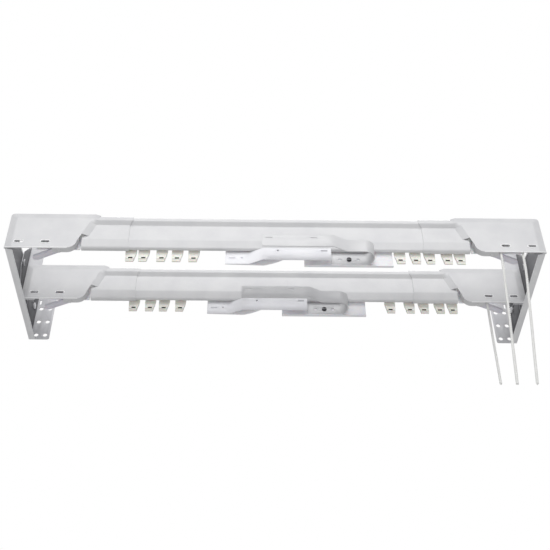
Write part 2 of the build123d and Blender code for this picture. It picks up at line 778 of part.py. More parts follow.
def carrier(track, x):
    """Nylon ring carrier: a hook over the track lip and a pendant with its eye."""
    rear = PENDANT_FRONT + PENDANT_THICK
    with BuildPart() as body:
        with BuildSketch(across(track, x - CARRIER_NECK / 2)):
            with BuildLine():
                Polyline(
                    (HOOK_FRONT, HOOK_LOW),
                    (HOOK_FRONT, BRIDGE_TOP),
                    (rear, BRIDGE_TOP),
                    (rear, BRIDGE_LOW - 4),
                    (PENDANT_FRONT, BRIDGE_LOW - 4),
                    (PENDANT_FRONT, BRIDGE_LOW),
                    (HOOK_FRONT + HOOK_LEG, BRIDGE_LOW),
                    (HOOK_FRONT + HOOK_LEG, HOOK_LOW),
                    close=True,
                )
            make_face()
        extrude(amount=CARRIER_NECK)
        # Pendant: leans back to the eye and ends in a thick bar
        with BuildSketch(across(track, x - CARRIER_WIDTH / 2)):
            with BuildLine():
                Polyline(
                    (PENDANT_FRONT, LIP_TOP),
                    (PENDANT_FRONT, 2),
                    (PENDANT_FRONT + 1.2, PENDANT_LOW + EYE_RISE - 0.2),
                    (PENDANT_FRONT + 0.2, PENDANT_LOW + 2.6),
                    (PENDANT_FRONT + 0.2, PENDANT_LOW),
                    (rear + 1.0, PENDANT_LOW),
                    (rear + 1.0, 2),
                    (rear, LIP_TOP),
                    close=True,
                )
            make_face()
        extrude(amount=CARRIER_WIDTH)
        with BuildSketch(facing(track, PENDANT_FRONT - 1)):
            with Locations((x, PENDANT_LOW + EYE_RISE)):
                RectangleRounded(EYE_WIDTH, EYE_HEIGHT, EYE_HEIGHT / 3)
        extrude(amount=-PENDANT_THICK - 4, mode=Mode.SUBTRACT)
        # The side towards the middle of the rod slopes
        inwards = math.copysign(CARRIER_WIDTH / 2, -x)
        sloped = math.copysign(CARRIER_WIDTH / 2 - CARRIER_TAPER, -x)
        with BuildSketch(facing(track, PENDANT_FRONT - 1)):
            with BuildLine():
                Polyline(
                    (x + inwards, TAPER_START),
                    (x + sloped, PENDANT_LOW),
                    (x + inwards, PENDANT_LOW),
                    close=True,
                )
            make_face()
        extrude(amount=-PENDANT_THICK - 4, mode=Mode.SUBTRACT)
    return body.part


def master_hook(track, start, length):
    """Hook rail of a master carrier, over the track lip."""
    rear = PENDANT_FRONT + MASTER_SHEET
    with BuildPart() as body:
        with BuildSketch(across(track, start)):
            with BuildLine():
                Polyline(
                    (HOOK_FRONT, HOOK_LOW),
                    (HOOK_FRONT, BRIDGE_TOP),
                    (rear, BRIDGE_TOP),
                    (rear, BRIDGE_LOW),
                    (HOOK_FRONT + HOOK_LEG, BRIDGE_LOW),
                    (HOOK_FRONT + HOOK_LEG, HOOK_LOW),
                    close=True,
                )
            make_face()
        extrude(amount=length)
    return body.part


def cord_clip(track, x, run):
    """Post and clip that hold a master carrier on its run of the draw cord."""
    post_front = CORD_DEPTH + CORD_DIAMETER / 2 + 1.0
    post_rear = post_front + 2.4
    with BuildPart() as body:
        with BuildSketch(across(track, x - 4)):
            with BuildLine():
                Polyline(
                    (post_front, BRIDGE_LOW),
                    (post_front, run - 3),
                    (CORD_DEPTH - 0.8, run - 3),
                    (CORD_DEPTH - 0.8, run + 3),
                    (post_rear, run + 3),
                    (post_rear, BRIDGE_LOW),
                    close=True,
                )
            make_face()
        extrude(amount=8)
        with BuildSketch(across(track, x - 5)):
            with Locations((CORD_DEPTH, run)):
                Circle(CORD_DIAMETER / 2 + 0.3)
        extrude(amount=10, mode=Mode.SUBTRACT)
    return body.part


def left_master(track):
    """Left master carrier: plate with a belly, hook rail over the track lip and cord clip."""
    right = track.masters_x
    left = right - LEFT_MASTER_LENGTH
    with BuildPart() as body:
        with BuildSketch(facing(track, PENDANT_FRONT)):
            with BuildLine():
                Polyline(
                    (left + LEFT_MASTER_FLAT, MASTER_LOW - 1.5),
                    (left, MASTER_LOW),
                    (left, BRIDGE_TOP),
                    (right - 20, BRIDGE_TOP),
                    (right, 4),
                    (right, 1),
                )
                Spline(
                    (right, 1),
                    (right - 14, MASTER_LOW + 4),
                    (left + LEFT_MASTER_FLAT, MASTER_LOW - 1.5),
                )
            make_face()
        extrude(amount=-MASTER_SHEET)
        add(master_hook(track, left + MASTER_HOOK_SET, LEFT_MASTER_FLAT))
        add(cord_clip(track, left + LEFT_CLIP_SET, LOWER_RUN))
    return body.part


def right_master(track):
    """Right master carrier: long plate with a bottom rail, hook rail and cord clip."""
    left = track.masters_x + MASTER_SPLIT
    right = left + RIGHT_MASTER_LENGTH
    low = ARM_STRIP_TOP - ARM_STRIP_HEIGHT - SLIDE_GAP
    with BuildPart() as body:
        with BuildSketch(facing(track, PENDANT_FRONT)):
            with BuildLine():
                Polyline((left, low), (right, low), (right, BRIDGE_TOP), (left, BRIDGE_TOP), close=True)
            make_face()
        extrude(amount=-MASTER_SHEET)
        with BuildSketch(across(track, left)):
            with BuildLine():
                Polyline(
                    (PENDANT_FRONT - 2, low),
                    (PENDANT_FRONT + MASTER_SHEET, low),
                    (PENDANT_FRONT + MASTER_SHEET, low - MASTER_RAIL),
                    (PENDANT_FRONT - 2, low - MASTER_RAIL),
                    close=True,
                )
            make_face()
        extrude(amount=RIGHT_MASTER_LENGTH)
        add(master_hook(track, left + 2 * MASTER_HOOK_SET, RIGHT_MASTER_LENGTH - 4 * MASTER_HOOK_SET))
        add(cord_clip(track, left + RIGHT_CLIP_SET, UPPER_RUN))
        with BuildSketch(facing(track, PENDANT_FRONT)):
            with Locations((screw_x(track), screw_height())):
                Circle(SCREW_DIAMETER / 2)
        extrude(amount=-MASTER_SHEET, mode=Mode.SUBTRACT)
    return body.part


def screw_x(track):
    return track.masters_x + OVERLAP_START + OVERLAP_STRAIGHT + OVERLAP_SLANT + OVERLAP_TIP - SCREW_FROM_TURN


def screw_height():
    return ARM_STRIP_TOP - ARM_STRIP_HEIGHT / 2 - SCREW_DROP


def bent_strip(track, line):
    """Flat strip on edge, bent along a line in plan."""
    sides = parallel(line, ARM_STRIP_SHEET / 2) + parallel(line, -ARM_STRIP_SHEET / 2)[::-1]
    with BuildPart() as body:
        with BuildSketch(plan(track, ARM_STRIP_TOP - ARM_STRIP_HEIGHT)):
            with BuildLine():
                Polyline(sides, close=True)
            make_face()
        extrude(amount=ARM_STRIP_HEIGHT)
    return body.part


def overlap_arm(track):
    """Overlap arm of the right master: front strip, jog, U-turn and back leg with the screw."""
    start = track.masters_x + OVERLAP_START
    slant = start + OVERLAP_STRAIGHT
    centre = slant + OVERLAP_SLANT + OVERLAP_TIP
    back = PENDANT_FRONT - ARM_STRIP_SHEET / 2
    jogged = OVERLAP_FRONT + OVERLAP_JOG
    radius = (back - jogged) / 2
    middle = (back + jogged) / 2
    turn = [
        (centre + radius * math.sin(math.radians(a)), middle - radius * math.cos(math.radians(a)))
        for a in range(0, 181, TURN_STEP)
    ]
    line = [(start, OVERLAP_FRONT), (slant, OVERLAP_FRONT), (slant + OVERLAP_SLANT, jogged)] + turn
    line.append((centre - OVERLAP_LEG, back))
    with BuildPart() as body:
        add(bent_strip(track, line))
        # Holes in the back leg, the middle one for the screw
        with BuildSketch(facing(track, back - 2)):
            sides = (screw_x(track) - SIDE_HOLE_SPACING, screw_x(track) + SIDE_HOLE_SPACING)
            with Locations(*[(x, screw_height()) for x in sides]):
                Circle(SIDE_HOLE_DIAMETER / 2)
            with Locations((screw_x(track), screw_height())):
                Circle(SCREW_DIAMETER / 2)
        extrude(amount=-4, mode=Mode.SUBTRACT)
        # Two slots in the front strip for the curtain's leading hooks
        with BuildSketch(facing(track, OVERLAP_FRONT - 2)):
            places = (start + ARM_SLOT_LENGTH, slant - OVERLAP_SLANT - ARM_SLOT_LENGTH)
            with Locations(*[(x, ARM_STRIP_TOP / 3) for x in places]):
                SlotOverall(ARM_SLOT_LENGTH, ARM_SLOT_WIDTH)
        extrude(amount=-4, mode=Mode.SUBTRACT)
    with BuildPart() as screw:
        with BuildSketch(facing(track, back - ARM_STRIP_SHEET / 2)):
            with Locations((screw_x(track), screw_height())):
                Circle(SCREW_DIAMETER / 2 + 1)
        extrude(amount=1.4)
        with BuildSketch(facing(track, back - ARM_STRIP_SHEET / 2)):
            with Locations((screw_x(track), screw_height())):
                Circle(SCREW_DIAMETER / 2 - 0.05)
        extrude(amount=-ARM_STRIP_SHEET - MASTER_SHEET)
    return Compound(children=[body.part, screw.part])


def underlap_arm(track):
    """Underlap arm of the left master: plate on the carrier, jog and straight strip."""
    start = track.masters_x - LEFT_MASTER_LENGTH
    slant = start + UNDERLAP_FLAT
    front_start = slant + UNDERLAP_SLANT
    end = front_start + UNDERLAP_STRAIGHT
    back = PENDANT_FRONT - ARM_STRIP_SHEET / 2
    line = [(start, back), (slant, back), (front_start, UNDERLAP_DEPTH), (end, UNDERLAP_DEPTH)]
    with BuildPart() as body:
        add(bent_strip(track, line))
        with BuildSketch(facing(track, back - 2)):
            with Locations((start + ARM_SLOT_LENGTH, -ARM_SLOT_WIDTH)):
                SlotOverall(ARM_SLOT_LENGTH, ARM_SLOT_WIDTH)
            with Locations((start + 2.4 * ARM_SLOT_LENGTH, -ARM_SLOT_WIDTH)):
                Circle(ARM_HOLE_DIAMETER / 2)
        extrude(amount=-4, mode=Mode.SUBTRACT)
        with BuildSketch(facing(track, UNDERLAP_DEPTH - 2)):
            with Locations((front_start + UNDERLAP_SLANT, ARM_STRIP_TOP / 2)):
                Circle(ARM_HOLE_DIAMETER / 2)
            with Locations((end - ARM_SLOT_LENGTH, ARM_STRIP_TOP / 2)):
                SlotOverall(ARM_SLOT_LENGTH, ARM_SLOT_WIDTH)
        extrude(amount=-4, mode=Mode.SUBTRACT)
    return body.part


def draw_loop(track):
    """Draw cord inside the rod: over both right-hand pulleys, along the rail and round the idler."""
    r = PULLEY_RADIUS
    quarter = r * math.sin(math.radians(45))
    lower = LOWER_RUN - r
    upper = UPPER_RUN - r
    start = Plane(
        origin=(LOWER_PULLEY_X + r, CORD_DEPTH - track.projection, track.base + lower),
        x_dir=(1, 0, 0),
        z_dir=(0, 0, 1),
    )
    with BuildPart() as body:
        with BuildLine(facing(track, CORD_DEPTH)):
            ThreePointArc(
                (LOWER_PULLEY_X + r, lower),
                (LOWER_PULLEY_X + quarter, lower + quarter),
                (LOWER_PULLEY_X, LOWER_RUN),
            )
            Line((LOWER_PULLEY_X, LOWER_RUN), (-IDLER_X, LOWER_RUN))
            ThreePointArc((-IDLER_X, LOWER_RUN), (-IDLER_X - r, LOWER_RUN + r), (-IDLER_X, UPPER_RUN))
            Line((-IDLER_X, UPPER_RUN), (UPPER_PULLEY_X, UPPER_RUN))
            ThreePointArc(
                (UPPER_PULLEY_X, UPPER_RUN),
                (UPPER_PULLEY_X + quarter, upper + quarter),
                (UPPER_PULLEY_X + r, upper),
            )
        with BuildSketch(start):
            Circle(CORD_DIAMETER / 2)
        sweep()
    return body.part


def hanging_cord(track, strand_x, route):
    """One hanging strand: straight runs joined by tangent arcs."""
    points = [
        Vector(strand_x + side, depth - track.projection, track.base + height)
        for side, depth, height in route
    ]
    radii = []
    for before, corner, after in zip(points, points[1:], points[2:]):
        turn = (corner - before).get_angle(after - corner)
        shorter = min((corner - before).length, (after - corner).length)
        radii.append(0.45 * shorter / math.tan(math.radians(turn / 2)))
    print(track.name, "cord radii", [round(r) for r in radii])
    with BuildPart() as body:
        with BuildLine() as path:
            FilletPolyline(*points, radius=radii)
        with BuildSketch(Plane(origin=points[0], z_dir=points[1] - points[0])):
            Circle(CORD_DIAMETER / 2)
        sweep()
    print(track.name, "cord length", round(path.wires()[0].length, 1), "volume", round(body.part.volume, 1))
    return body.part


def finish(part, name):
    part.label = name
    export_step(part, "parts/" + name + ".step")


def finish_left(part, name):
    """The left-hand piece is the mirror image of the right-hand one."""
    with BuildPart() as left:
        mirror(part, about=Plane.YZ)
    finish(left.part, name)


os.makedirs("parts", exist_ok=True)

finish(wall_bracket(), "wall_bracket_right")
finish_left(wall_bracket(), "wall_bracket_left")
finish(arm(), "end_arm_right")
finish_left(arm(), "end_arm_left")
finish(mid_bracket(), "mid_bracket_right")
finish_left(mid_bracket(), "mid_bracket_left")

# Routes of the hanging strands: sideways from the strand's place, behind the end plate's face and
# above its bottom edge. The first point is on the pulley.
IN = CORD_DEPTH
OUT = CORD_EXIT_DEPTH
STRANDS = {
    "front": (
        (
            (0, IN, LOWER_AXLE), (0, IN, 19), (-0.2, OUT + 0.2, 4.5), (-1.2, OUT, -24),
            (-4.8, 3.0, -72), (-7.8, 3.4, -120), (-11.8, 3.0, -168), (-14.6, 3.3, -210.9),
        ),
        (
            (0, IN, UPPER_AXLE), (0, IN, 28), (-0.1, OUT + 0.8, 5), (-1.6, OUT, -33),
            (-6.5, 3.2, -78), (-11, 3.0, -124), (-16, 3.3, -170), (-20, 3.0, -210.6),
        ),
    ),
    "rear": (
        (
            (0, IN, LOWER_AXLE), (0, IN, 19), (-0.2, OUT + 0.2, 4.5), (-0.6, OUT, -24),
            (-1.8, 3.2, -62), (-2.2, 3.0, -100), (-2.8, 3.3, -137.7),
        ),
        (
            (0, IN, UPPER_AXLE), (0, IN, 28), (-0.4, OUT + 0.8, 5), (-3, OUT, -33),
            (-5.6, 3.2, -70), (-7.6, 3.0, -104), (-10.2, 3.3, -137.5),
        ),
    ),
}

for track in (front, rear):
    name = track.name
    finish(end_section(track), name + "_end_right")
    finish_left(end_section(track), name + "_end_left")
    outer_rail = rail(track, 0, -RAIL_END, NOTCH_X - RAIL_END_SET, -RIVET_X)
    inner_rail = rail(track, -INNER_STEP, RAIL_OVERRUN - NOTCH_X, RAIL_END, RIVET_X)
    finish(outer_rail, name + "_outer_rail")
    finish(inner_rail, name + "_inner_rail")
    finish(lever(track), name + "_lever_right")
    finish_left(lever(track), name + "_lever_left")
    right_posts = ((LOWER_PULLEY_X, LOWER_AXLE), (UPPER_PULLEY_X, UPPER_AXLE))
    left_posts = ((IDLER_X, IDLER_AXLE),)
    outer = UPPER_PULLEY_X + PULLEY_FLANGE + HOUSING_WALL + HOUSING_MARGIN
    housing = pulley_housing(track, right_posts, NOTCH_X + HOUSING_SET, outer)
    finish(housing, name + "_pulley_housing_right")
    outer = IDLER_X + PULLEY_FLANGE + HOUSING_WALL + IDLER_HOUSING_MARGIN
    housing = pulley_housing(track, left_posts, NOTCH_X + HOUSING_SET, outer)
    finish_left(housing, name + "_pulley_housing_left")
    finish(pulley(track, *right_posts[0]), name + "_pulley_lower")
    finish(pulley(track, *right_posts[1]), name + "_pulley_upper")
    finish(pulley(track, -IDLER_X, IDLER_AXLE), name + "_pulley_idler")
    finish(left_master(track), name + "_master_left")
    finish(right_master(track), name + "_master_right")
    finish(underlap_arm(track), name + "_underlap_arm")
    finish(overlap_arm(track), name + "_overlap_arm")
    for side, places in zip(("left", "right"), carrier_places(track)):
        for number, x in enumerate(places, 1):
            finish(carrier(track, x), name + "_carrier_" + side + "_" + str(number))
    places = (FIRST_STRAND_X, SECOND_STRAND_X)
    for number, (x, route) in enumerate(zip(places, STRANDS[name]), 1):
        finish(hanging_cord(track, x, route), name + "_cord_" + str(number))

finish(Compound(children=[draw_loop(front), draw_loop(rear)]), "draw_cord_loops")
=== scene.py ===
import json
import math

import bmesh
import bpy
from mathutils import Matrix, Vector

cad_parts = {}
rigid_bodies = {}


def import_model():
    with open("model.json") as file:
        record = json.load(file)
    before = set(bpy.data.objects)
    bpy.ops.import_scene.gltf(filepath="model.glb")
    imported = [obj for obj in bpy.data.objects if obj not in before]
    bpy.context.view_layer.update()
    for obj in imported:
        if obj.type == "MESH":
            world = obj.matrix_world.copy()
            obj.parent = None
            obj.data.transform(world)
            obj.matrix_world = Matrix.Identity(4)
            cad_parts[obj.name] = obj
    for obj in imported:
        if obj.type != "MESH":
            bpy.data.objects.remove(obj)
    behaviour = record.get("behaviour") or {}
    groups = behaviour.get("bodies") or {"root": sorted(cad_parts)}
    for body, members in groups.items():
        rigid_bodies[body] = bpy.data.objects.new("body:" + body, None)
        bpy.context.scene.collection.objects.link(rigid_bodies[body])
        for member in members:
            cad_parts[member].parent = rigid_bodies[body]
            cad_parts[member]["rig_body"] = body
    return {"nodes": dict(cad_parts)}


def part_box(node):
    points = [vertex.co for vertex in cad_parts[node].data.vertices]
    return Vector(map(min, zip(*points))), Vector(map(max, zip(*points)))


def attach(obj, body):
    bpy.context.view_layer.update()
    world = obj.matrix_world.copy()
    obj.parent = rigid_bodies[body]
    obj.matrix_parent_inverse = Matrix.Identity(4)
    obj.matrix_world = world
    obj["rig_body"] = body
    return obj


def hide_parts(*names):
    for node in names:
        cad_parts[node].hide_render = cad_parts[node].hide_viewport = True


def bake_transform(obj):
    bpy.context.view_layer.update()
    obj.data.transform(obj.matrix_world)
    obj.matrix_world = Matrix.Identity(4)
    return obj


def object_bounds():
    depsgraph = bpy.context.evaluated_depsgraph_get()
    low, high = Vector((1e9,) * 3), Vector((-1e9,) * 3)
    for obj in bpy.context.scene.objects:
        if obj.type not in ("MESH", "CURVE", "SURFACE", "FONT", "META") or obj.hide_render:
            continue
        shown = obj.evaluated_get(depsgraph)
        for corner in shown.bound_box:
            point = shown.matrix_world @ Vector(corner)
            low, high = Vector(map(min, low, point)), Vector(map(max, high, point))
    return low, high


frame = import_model()
cad_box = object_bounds()

# Camera of the photograph: in front of the rods, below them and looking up, a little to the left
# of their middle. Its place and angles were fitted to the corners of the end plates, the arms and
# the wall brackets.
CAMERA_PLACE = Vector((-0.0232, -1.1326, -0.9286))
CAMERA_PITCH = math.radians(42.186)
CAMERA_YAW = math.radians(1.290)
CAMERA_ROLL = math.radians(0.335)
CAMERA_FOCUS_PX = 991.2
PHOTO_SIDE_PX = 550.0
SENSOR_MM = 36.0

forward = Vector((
    math.sin(CAMERA_YAW) * math.cos(CAMERA_PITCH),
    math.cos(CAMERA_YAW) * math.cos(CAMERA_PITCH),
    math.sin(CAMERA_PITCH),
))
level = Vector((math.cos(CAMERA_YAW), -math.sin(CAMERA_YAW), 0))
below = forward.cross(level).normalized()
right = level * math.cos(CAMERA_ROLL) + below * math.sin(CAMERA_ROLL)
down = below * math.cos(CAMERA_ROLL) - level * math.sin(CAMERA_ROLL)
camera_data = bpy.data.cameras.new("photo_camera")
camera_data.sensor_width = SENSOR_MM
camera_data.lens = SENSOR_MM * CAMERA_FOCUS_PX / PHOTO_SIDE_PX
camera_data.clip_start = 0.01
camera = bpy.data.objects.new("photo_camera", camera_data)
bpy.context.collection.objects.link(camera)
camera.matrix_world = Matrix.Translation(CAMERA_PLACE) @ Matrix((
    (right.x, -down.x, -forward.x, 0),
    (right.y, -down.y, -forward.y, 0),
    (right.z, -down.z, -forward.z, 0),
    (0, 0, 0, 1),
))
bpy.context.scene.camera = camera


# Studio: a pale floor far below the rods, a white surround and five soft lamps. Two lamps in front
# and above make the faces light and leave the insides of the arms dark, helped there by painted shade,
# a weak one below brightens the undersides, and one above and one behind light the floor and the
# backs.
def linear(colour):
    """Linear colour of an sRGB hex value."""
    parts = [int(colour[i:i + 2], 16) / 255 for i in (1, 3, 5)]
    return [c / 12.92 if c <= 0.04045 else ((c + 0.055) / 1.055) ** 2.4 for c in parts] + [1]


def add_node(tree, kind, sockets=None, **settings):
    """A shader node with its settings; a socket gets a value or the output that feeds it."""
    made = tree.nodes.new(kind)
    for name, value in settings.items():
        setattr(made, name, value)
    for name, value in (sockets or {}).items():
        if isinstance(value, bpy.types.NodeSocket):
            tree.links.new(value, made.inputs[name])
        else:
            made.inputs[name].default_value = value
    return made


def two_toned(tree, place, scale, detail, low, high, start=0.0, end=1.0):
    """Colour a material from one tone to another by a noise, and return the noise's output."""
    noise = add_node(tree, "ShaderNodeTexNoise", {"Vector": place, "Scale": scale, "Detail": detail})
    tone = add_node(tree, "ShaderNodeValToRGB", {"Fac": noise.outputs["Fac"]})
    ends = tone.color_ramp.elements
    ends[0].position = start
    ends[0].color = linear(low)
    ends[1].position = end
    ends[1].color = linear(high)
    tree.links.new(tone.outputs["Color"], tree.nodes["Principled BSDF"].inputs["Base Color"])
    return noise.outputs["Fac"]


FLOOR_DROP = 2.3
FLOOR_SIDE = 14.0
bpy.ops.mesh.primitive_plane_add(size=FLOOR_SIDE, location=(0, 0, cad_box[0].z - FLOOR_DROP))
floor = bpy.context.object
floor.name = "studio_floor"
paper = bpy.data.materials.new("matt_paper_floor")
paper.use_nodes = True
tree = paper.node_tree
place = add_node(tree, "ShaderNodeTexCoord").outputs["Generated"]
two_toned(tree, place, 6.0, 3.0, "#E9E9E7", "#F2F2F1")
tree.nodes["Principled BSDF"].inputs["Roughness"].default_value = 0.9
floor.data.materials.append(paper)

SEEN_WORLD = 1.0
WORLD_LIGHT = 0.28
world = bpy.data.worlds.new("white_surround")
bpy.context.scene.world = world
world.use_nodes = True
tree = world.node_tree
tree.nodes.clear()
seen = add_node(tree, "ShaderNodeBackground", {"Color": linear("#FFFFFF"), "Strength": SEEN_WORLD})
light = add_node(tree, "ShaderNodeBackground", {"Color": linear("#F6F7FA"), "Strength": WORLD_LIGHT})
path = add_node(tree, "ShaderNodeLightPath")
both = add_node(tree, "ShaderNodeMixShader", {
    "Fac": path.outputs["Is Camera Ray"], 1: light.outputs[0], 2: seen.outputs[0],
})
add_node(tree, "ShaderNodeOutputWorld", {"Surface": both.outputs[0]})
bpy.context.scene.view_settings.view_transform = "Standard"

# Name, place, diameter and watts of each lamp
LAMPS = (
    ("front_lamp", (0.0, -2.6, 1.0), 2.4, 24),
    ("high_lamp", (0.0, -2.3, 1.7), 2.4, 29),
    ("low_lamp", (0.0, -2.0, -1.4), 1.6, 9),
    ("top_lamp", (0.0, 0.9, 2.9), 3.0, 60),
    ("back_lamp", (0.0, 2.8, 0.8), 2.0, 26),
)
for name, place, size, power in LAMPS:
    data = bpy.data.lights.new(name, "AREA")
    data.shape = "DISK"
    data.size = size
    data.energy = power
    lamp = bpy.data.objects.new(name, data)
    bpy.context.collection.objects.link(lamp)
    lamp.location = place
    lamp.rotation_euler = (-Vector(place)).to_track_quat("-Z", "Y").to_euler()


# Wall brackets: 1.6 mm steel, blanked with six screw holes and bent to an angle, then dipped in a
# thin grey-white enamel and baked. The arm's stud slides in the slot of the web.
def new_material(name):
    """A material with its node tree, its shader and the object's own coordinates."""
    made = bpy.data.materials.new(name)
    made.use_nodes = True
    tree = made.node_tree
    place = add_node(tree, "ShaderNodeTexCoord").outputs["Object"]
    return made, tree, tree.nodes["Principled BSDF"], place


def bumped(tree, place, scale, detail, strength, distance):
    """Roughen a material's surface with a noise, and return the noise's output."""
    noise = add_node(tree, "ShaderNodeTexNoise", {"Vector": place, "Scale": scale, "Detail": detail})
    bump = add_node(tree, "ShaderNodeBump", {
        "Height": noise.outputs["Fac"], "Strength": strength, "Distance": distance,
    })
    tree.links.new(bump.outputs["Normal"], tree.nodes["Principled BSDF"].inputs["Normal"])
    return noise.outputs["Fac"]


def dulled(tree, noise, low, high):
    """Let a noise vary a material's roughness from low to high."""
    dull = add_node(tree, "ShaderNodeMapRange", {"Value": noise, "To Min": low, "To Max": high})
    tree.links.new(dull.outputs["Result"], tree.nodes["Principled BSDF"].inputs["Roughness"])


def baked_enamel(name, thin, thick, roughness):
    """Baked enamel: half glossy, with orange peel and clouds where it ran thin."""
    made, tree, shader, place = new_material(name)
    shader.inputs["IOR"].default_value = 1.5
    shader.inputs["Coat Weight"].default_value = 0.25
    shader.inputs["Coat Roughness"].default_value = 0.18
    # Clouds 30 mm across, where the enamel is a little thinner
    clouds = two_toned(tree, place, 33.0, 3.0, thin, thick, 0.3, 0.7)
    # Orange peel 2.5 mm across, coarser than the real 1 mm so that it shows
    bumped(tree, place, 400.0, 1.0, 0.05, 0.001)
    dulled(tree, clouds, roughness - 0.05, roughness + 0.08)
    return made


def choose(piece):
    """Select one piece alone and make it active."""
    bpy.ops.object.select_all(action="DESELECT")
    piece.select_set(True)
    bpy.context.view_layer.objects.active = piece


def enter_edit(piece):
    """Open one piece alone in edit mode, with nothing of it selected."""
    choose(piece)
    bpy.ops.object.mode_set(mode="EDIT")
    bpy.ops.mesh.select_all(action="DESELECT")


SHARP_DEGREES = 30
SMOOTH_DEGREES = 35


def soften_edges(piece, width, segments):
    """Round the edges with a bevel and shade the piece smooth between its sharp edges."""
    bevel = piece.modifiers.new("soft_edges", "BEVEL")
    bevel.width = width
    bevel.segments = segments
    bevel.limit_method = "ANGLE"
    bevel.angle_limit = math.radians(SHARP_DEGREES)
    choose(piece)
    bpy.ops.object.modifier_apply(modifier="soft_edges")
    bpy.ops.object.shade_smooth_by_angle(angle=math.radians(SMOOTH_DEGREES))


MERGE_DISTANCE = 1e-6
FLAT_DEGREES = 1


def softened(node, name, material, width):
    """A copy of a CAD node with rounded edges, which stands for it on its body."""
    source = frame["nodes"][node]
    made = bpy.data.objects.new(name, source.data.copy())
    bpy.context.collection.objects.link(made)
    enter_edit(made)
    bpy.ops.mesh.select_all(action="SELECT")
    bpy.ops.mesh.remove_doubles(threshold=MERGE_DISTANCE)
    bpy.ops.mesh.dissolve_limited(angle_limit=math.radians(FLAT_DEGREES))
    bpy.ops.object.mode_set(mode="OBJECT")
    bpy.ops.mesh.customdata_custom_splitnormals_clear()
    made.data.materials.clear()
    made.data.materials.append(material)
    soften_edges(made, width, 2)
    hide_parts(node)
    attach(made, source["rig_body"])
    return made


def pick(piece, kind, corner, test):
    """Select the faces or vertices whose place, in mm from a corner, and normal pass the test."""
    bpy.ops.mesh.select_mode(type=kind)
    bpy.ops.mesh.select_all(action="DESELECT")
    mesh = bmesh.from_edit_mesh(piece.data)
    for part in mesh.faces if kind == "FACE" else mesh.verts:
        middle = part.calc_center_median() if kind == "FACE" else part.co
        part.select_set(bool(test((middle - corner) * 1000, part.normal)))
    mesh.select_flush_mode()
    bmesh.update_edit_mesh(piece.data)


def assign(piece, material, corner, test):
    """Give the faces that pass the test another material; here it is the painted shade of the insides.
    """
    piece.data.materials.append(material)
    enter_edit(piece)
    pick(piece, "FACE", corner, test)
    piece.active_material_index = len(piece.data.materials) - 1
    bpy.ops.object.material_slot_assign()
    bpy.ops.object.mode_set(mode="OBJECT")


RODS = ("front", "rear")
HANDS = {"left": -1, "right": 1}
ORIGIN = Vector((0, 0, 0))
# The least share of a face's normal along a direction for the face to look that way
FACING = 0.9
BRACKET_WEB_X = 345.0
bracket_enamel = baked_enamel("baked_grey_enamel", "#CFCFD3", "#DADADC", 0.5)
# Dark grey painted shade for the faces inside the arms and on the webs of the angles, where little
# light falls
painted_shade_enamel = baked_enamel("painted_shade_enamel_inside", "#4C4C50", "#5C5C60", 0.55)


def angle_inside(hand):
    """Test for the faces of an angle's web that look inwards."""
    return lambda p, n: n.x * hand < -FACING and abs(p.x) > BRACKET_WEB_X


for side, hand in HANDS.items():
    angle = softened(
        "wall_bracket_" + side, "wall_angle_" + side, bracket_enamel, 0.0003,
    )
    assign(angle, painted_shade_enamel, ORIGIN, angle_inside(hand))

# End arms and mid brackets: channels and angles stamped from 1.2 mm steel. The arms have the white
# enamel of the rods outside; their insides get a dark grey painted shade, as do the angles' webs.
ARM_WEB_X = 351.0
ARM_FRONT_Y = -185.0
ARM_LOW_Z = -20.0
arm_enamel = baked_enamel("baked_white_enamel_on_arms", "#E8E8EA", "#F2F2F3", 0.42)
for side, hand in HANDS.items():
    channel = softened("end_arm_" + side, "arm_channel_" + side, arm_enamel, 0.0003)
    assign(channel, painted_shade_enamel, ORIGIN, lambda p, n: (
        n.x * hand < -FACING and abs(p.x) > ARM_WEB_X
        or abs(n.y) > FACING and p.y < ARM_FRONT_Y and p.z > ARM_LOW_Z
    ))
    angle = softened(
        "mid_bracket_" + side, "mid_angle_" + side, bracket_enamel, 0.0003,
    )
    assign(angle, painted_shade_enamel, ORIGIN, angle_inside(hand))


# Rails and end sections: 0.8 and 1.2 mm steel strip, roll formed, with the ends stamped, in white
# enamel baked on. Their shape is the CAD's, bends and press lines with it.
def paint(material, *names):
    """CAD nodes whose shape is right take the material as they are."""
    for name in names:
        node = frame["nodes"][name]
        node.data.materials.clear()
        node.data.materials.append(material)


rod_enamel = baked_enamel("baked_white_enamel", "#D6D6D8", "#E0E0E1", 0.42)
for rod in RODS:
    paint(
        rod_enamel, rod + "_outer_rail", rod + "_inner_rail",
        rod + "_end_left", rod + "_end_right",
    )


# The coined rims of the hook slots stand out this far from the plate's face
HOOK_RIM_PROUD = 0.0003


def rod_corner(rod):
    """Front lower edge of a rod's end plates: its distance from the wall and its height."""
    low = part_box(rod + "_end_right")[0]
    return low.y + HOOK_RIM_PROUD, low.z


def solid_round(name, vertices, radius, depth, middle, turn=(0, 0, 0)):
    """A closed cylinder with its middle at a place, turned from the vertical."""
    bpy.ops.mesh.primitive_cylinder_add(
        vertices=vertices, radius=radius, depth=depth, location=middle, rotation=turn,
    )
    made = bpy.context.object
    made.name = name
    bpy.ops.object.transform_apply(location=True, rotation=True, scale=True)
    return made


def finish(piece, material, width, segments, body):
    """Coat a modelled piece, round its edges and put it on its body."""
    piece.data.materials.append(material)
    soften_edges(piece, width, segments)
    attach(piece, body)
